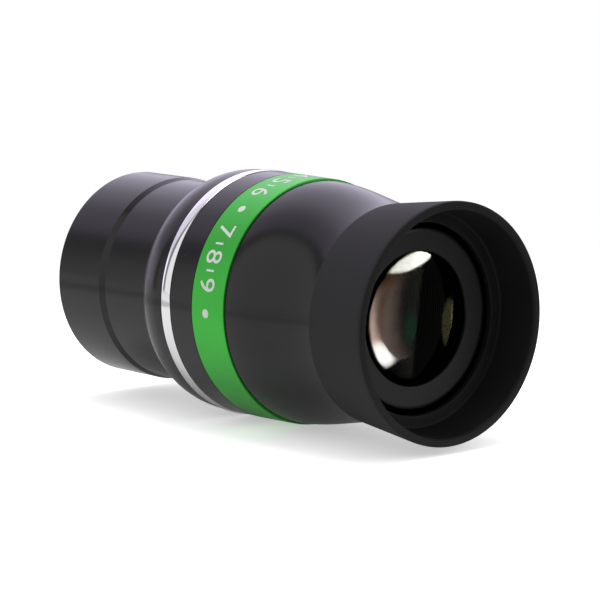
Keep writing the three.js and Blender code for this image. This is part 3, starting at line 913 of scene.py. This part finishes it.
def make_barrel():
    """The undercut barrel, with a real helical filter thread in its mouth."""
    top_at, end_at, radius = span("barrel")
    seat_at = span("lower_housing")[1]
    neck_radius = radius - UNDERCUT_DEPTH
    undercut_end_at = seat_at + UNDERCUT_LENGTH
    bore = neck_radius - BARREL_WALL
    filter_bore = radius - FILTER_WALL
    filter_at = end_at - FILTER_DEPTH
    ledge_at = seat_at + LEDGE_INSET
    thread_length = FILTER_DEPTH - 2 * THREAD_MARGIN
    thread_rows = [(end_at - THREAD_MARGIN - row * FILTER_PITCH / THREAD_ROWS, filter_bore)
                   for row in range(int(THREAD_ROWS * thread_length / FILTER_PITCH))]
    outline = rounded([
        (top_at, neck_radius - SPIGOT_BORE_STEP),
        (top_at, neck_radius - SPIGOT_STEP),
        (seat_at - NECK_REACH, neck_radius - SPIGOT_STEP),
        (seat_at - NECK_REACH, neck_radius),
        (undercut_end_at, neck_radius, UNDERCUT_ROUND),
        (undercut_end_at + UNDERCUT_SLOPE, radius, UNDERCUT_ROUND),
        (end_at - BARREL_TIP_CHAMFER, radius, EDGE),
        (end_at, radius - BARREL_TIP_CHAMFER, EDGE),
        (end_at, filter_bore + FILTER_LEAD_IN, EDGE),
        *thread_rows,
        (filter_at - FILTER_STEP, bore),
        (filter_at - BARREL_BORE_ROW, bore),
        (ledge_at, bore),
        (ledge_at, neck_radius - SPIGOT_BORE_STEP),
    ])

    def threaded(station, at_radius, angle):
        """Cuts the thread's V into the rows that lie on the filter bore."""
        if abs(at_radius - filter_bore) > SAME_RADIUS:
            return station, at_radius
        turn = (station / FILTER_PITCH + angle / (2 * math.pi)) % 1
        depth = THREAD_DEPTH * (1 - abs(2 * turn - 1))
        run_out = min(1, (station - filter_at) / FILTER_PITCH)
        return station, at_radius - THREAD_CREST + depth * run_out

    barrel = turned("barrel_turned", outline, BLACK, shaped=threaded)
    barrel.data.materials.append(BAFFLE)
    for face in barrel.data.polygons:
        centre = face.center
        inside = math.hypot(centre.y, centre.z) < (filter_bore - BAFFLE_INSET) * MM
        if inside and centre.x < RIM_X - ledge_at * MM:
            face.material_index = 1
    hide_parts("barrel")


def make_barrel_cell():
    """The stepped cell that holds the pair of glasses in the barrel."""
    thread_at, end_at, flange_radius = span("barrel_lens_cell")
    glass_radius = span("barrel_crown_lens")[2]
    thread_radius = span("barrel")[2] - UNDERCUT_DEPTH - SPIGOT_BORE_STEP - FIT
    flange_at = thread_at + CELL_THREAD_LENGTH
    flange_end_at = flange_at + CELL_FLANGE_LENGTH
    tube_radius = glass_radius + FIT + CELL_TUBE_WALL
    ledge_at = thread_at + CELL_LEDGE_THICKNESS
    outline = rounded([
        (thread_at, glass_radius - CELL_LEDGE_WIDTH),
        (thread_at, thread_radius, EDGE),
        (flange_at, thread_radius),
        (flange_at, flange_radius, EDGE),
        (flange_end_at, flange_radius, EDGE),
        (flange_end_at, tube_radius),
        (end_at, tube_radius, EDGE),
        (end_at, glass_radius + FIT, EDGE),
        (ledge_at, glass_radius + FIT),
        (ledge_at, glass_radius - CELL_LEDGE_WIDTH, EDGE),
    ])
    cell = turned("barrel_lens_cell_turned", outline, MATT)
    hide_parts("barrel_lens_cell")


def make_barrel_retainer():
    """A threaded ring with two spanner notches across its outer face."""
    front_at, back_at, radius = span("barrel_lens_retainer")

    def notched(station, at_radius, angle):
        across = abs(at_radius * math.sin(angle))
        if station > back_at - EDGE and across < NOTCH_WIDTH / 2:
            return station - NOTCH_DEPTH, at_radius
        return station, at_radius

    outline = rounded([
        (front_at, radius),
        (back_at, radius, EDGE / 2),
        (back_at, radius - RETAINER_WIDTH, EDGE / 2),
        (front_at, radius - RETAINER_WIDTH),
    ])
    ring = turned("barrel_lens_retainer_turned", outline, MATT, facets=4 * FACETS, shaped=notched)
    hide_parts("barrel_lens_retainer")


def finish_inner_nodes():
    """The pieces inside keep their solids and take the dull black of the baffles."""
    for name in ("lens_cell", "long_spacer", "short_spacer", "cell_retainer", "field_stop"):
        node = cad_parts[name]
        node.data.materials.clear()
        node.data.materials.append(BAFFLE)


# Studio

def make_world():
    """A white background. What is diffuse is lit evenly, and what is glossy sees soft panels in a dim room.

    The front of the eye lens shows painted reflections of its own: bright round discs on a dark ground, cut
    off at a frame, and the surfaces behind it show two dim ones. Only mirror rays see them. Headings are
    measured from +X towards +Y."""
    world = bpy.data.worlds.new("studio")
    bpy.context.scene.world = world
    graph = Graph(world)
    direction = graph.node("TexCoord", output="Generated")
    ahead, aside, up = (graph.node("SeparateXYZ", None, {0: direction}, axis) for axis in "XYZ")
    elevation = graph.math("ARCSINE", up)

    def bearing(heading):
        cosine, sine = math.cos(math.radians(heading)), math.sin(math.radians(heading))
        return graph.math("ARCTAN2", aside * cosine - ahead * sine, ahead * cosine + aside * sine)

    def disc(heading, half_width, middle, half_height, soft):
        across = bearing(heading) / math.radians(half_width)
        along = (elevation - math.radians(middle)) / math.radians(half_height)
        away = graph.math("SQRT", across * across + along * along)
        return 1 - graph.smooth(away, 1 - soft, 1 + soft)

    light = shade(ROOM_LEVEL)
    for heading, half_width, side_soft, low, high, soft, level, tint in PANELS:
        share = graph.window(bearing(heading), -half_width, half_width, side_soft)
        share = share * graph.window(elevation, low, high, soft)
        light = graph.mix(share, light, shade(level, tint))
    mirrored = inner = shade(0)
    # Painted reflections for the front of the eye lens, seen only by mirror rays and cut off to black outside
    # the frame
    for *shape, level, tint in PAINTED_LENS_REFLECTIONS:
        mirrored = graph.mix(disc(*shape), mirrored, shade(level, tint))
    mirrored = graph.mix(disc(*PAINTED_REFLECTIONS_FRAME), shade(0), mirrored)
    # Painted reflections for the surfaces behind the front of the eye lens, seen only by mirror rays that
    # have passed through glass
    for *shape, level, tint in PAINTED_INNER_REFLECTIONS:
        inner = graph.mix(disc(*shape), inner, shade(level, tint))
    outside = graph.math("LESS_THAN", graph.node("LightPath", output="Transmission Depth"), 0.5)
    singular = graph.node("LightPath", output="Is Singular Ray")
    diffuse = graph.node("LightPath", output="Is Diffuse Ray")
    camera = graph.node("LightPath", output="Is Camera Ray")
    light = graph.mix(singular, light, inner)
    light = graph.mix(singular * outside, light, mirrored)
    light = graph.mix(diffuse, light, shade(SOFT_LIGHT))
    colour = graph.mix(camera, light, shade(1))
    background = graph.node("Background", None, {"Color": colour, "Strength": 1.0})
    graph.node("OutputWorld", None, {"Surface": background})


def make_floor():
    """A pale floor that keeps the shadow. The camera sees its paper brightened by the gain and lifted towards
    white, and far out it is plain white.

    What is glossy sees, in its reflections only, a faint painted glow and a painted dark ring round the
    floor. All but the camera see the floor painted dark in front of the eye lens. Clear glass sees past the
    floor to the painted lens reflections."""
    mesh = bpy.data.meshes.new("floor")
    height = cad_box[0].z
    corners = [(-1, -1), (1, -1), (1, 1), (-1, 1)]
    mesh.from_pydata([(x * FLOOR_REACH, y * FLOOR_REACH, height) for x, y in corners], [], [(0, 1, 2, 3)])
    floor = bpy.data.objects.new("floor", mesh)
    bpy.context.scene.collection.objects.link(floor)
    made, graph = material("pale_floor")
    camera = graph.node("LightPath", output="Is Camera Ray")
    glossy = graph.node("LightPath", output="Is Glossy Ray")
    away = graph.node("VectorMath", {"operation": "LENGTH"}, {0: graph.place((1, 1, 0))}, "Value")
    # Painted dark ring on the floor that only glossy rays see: a painted dark line in reflections
    reflected_dark_ring = graph.smooth(away, *FLOOR_DARK_RING_STARTS) * (1 - graph.smooth(away, *FLOOR_DARK_RING_ENDS)) * glossy
    ahead = graph.node("SeparateXYZ", None, {0: graph.place()}, "X")
    front = graph.smooth(ahead, *FLOOR_FRONT) * (1 - camera)
    tone = graph.mix(reflected_dark_ring, shade(PAPER_LEVEL), shade(DARK_RING_LEVEL))
    tone = graph.mix(front, tone, shade(FRONT_LEVEL))
    tone = graph.mix(camera, tone, shade(FLOOR_GAIN))
    paper = graph.node("BsdfDiffuse", None, {"Color": tone})
    # The second term is a painted glow on the floor that only glossy rays see: a painted brightening of
    # reflections
    glow = camera * FLOOR_LIFT + glossy * FLOOR_REFLECTED_GLOW
    lift = graph.node("Emission", None, {"Color": shade(1), "Strength": glow})
    near = graph.node("AddShader", None, {0: paper, 1: lift})
    white = graph.node("Emission", None, {"Color": shade(1), "Strength": 1.0})
    seen = graph.node("MixShader", None, {0: graph.smooth(away, *FLOOR_FADE) * camera, 1: near, 2: white})
    clear = graph.node("LightPath", output="Is Singular Ray")
    past = graph.node("BsdfTransparent")
    surface = graph.node("MixShader", None, {0: clear, 1: seen, 2: past})
    graph.node("OutputMaterial", None, {"Surface": surface})
    mesh.materials.append(made)


def add_softbox(name, place, size, power, colour=NEUTRAL):
    """A lamp that faces the middle of the piece, unseen by the camera and by rays that have passed through
    glass. Place and size are in metres, power in watts."""
    lamp = bpy.data.lights.new(name, "AREA")
    lamp.shape = "RECTANGLE"
    lamp.size, lamp.size_y = size
    lamp.energy = power
    lamp.color = colour
    box = bpy.data.objects.new(name, lamp)
    bpy.context.scene.collection.objects.link(box)
    box.location = place
    box.rotation_mode = "QUATERNION"
    box.rotation_quaternion = (-Vector(place)).to_track_quat("-Z", "Y")
    box.visible_camera = box.visible_transmission = False


def make_lights():
    add_softbox("overhead_softbox", (-0.02, 0.04, 0.80), (0.5, 0.5), 2.0, (0.98, 0.97, 1.0))
    add_softbox("right_softbox", (0.60, 0.40, 0.30), (0.3, 0.3), 0.5)


def make_camera():
    data = bpy.data.cameras.new("camera")
    data.sensor_width = CAMERA_SENSOR
    data.lens = CAMERA_LENS
    data.clip_start = NEAREST_SEEN
    camera = bpy.data.objects.new("camera", data)
    bpy.context.scene.collection.objects.link(camera)
    camera.location = CAMERA_AT
    camera.rotation_euler = (math.pi / 2 + CAMERA_TILT, 0, CAMERA_HEADING)
    bpy.context.scene.camera = camera
    bpy.context.scene.view_settings.view_transform = "Standard"


make_camera()
make_world()
make_floor()
make_lights()

make_eyecup()
make_eye_plate()
make_glasses()
make_upper_housing()
make_green_band()
make_middle_housing()
make_silver_ring()
make_lower_housing()
make_marks()
make_barrel()
make_barrel_cell()
make_barrel_retainer()
finish_inner_nodes()
